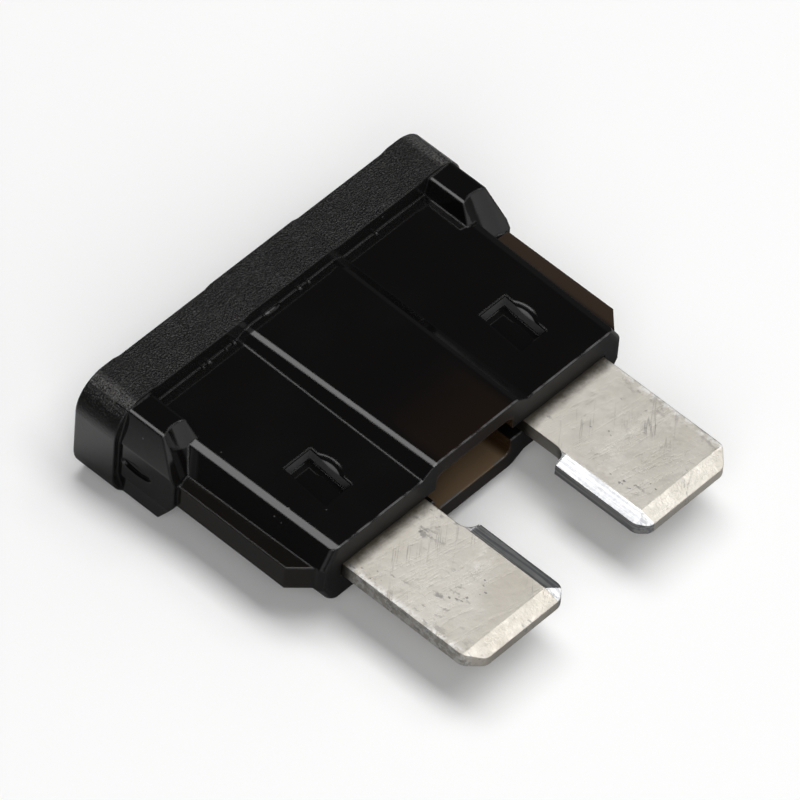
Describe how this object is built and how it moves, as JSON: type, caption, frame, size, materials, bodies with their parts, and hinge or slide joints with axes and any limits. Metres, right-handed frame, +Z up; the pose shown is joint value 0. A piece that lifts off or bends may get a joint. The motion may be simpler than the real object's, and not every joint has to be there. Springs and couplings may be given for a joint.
{
  "type": "automotive blade fuse",
  "caption": "Flat plug-in fuse with a dark translucent moulded housing, wide grip head and two parallel stamped metal blades.",
  "frame": {"origin": "middle of the underside of the bounding box, with the fuse lying flat", "axes": "+X across both blades, +Y from the blade tips towards the head, +Z up through the thickness"},
  "size_m": [0.019, 0.0186, 0.0051],
  "materials": {
    "housing_plastic": "dark smoky brown translucent moulding, glossy panels, fine matte texture on the head",
    "terminal_metal": "stamped zinc alloy with dull bright plating, light scratches and coined bevels"
  },
  "bodies": {
    "root": {"housing": "housing_plastic", "fuse_element": "terminal_metal"}
  },
  "joints": []
}
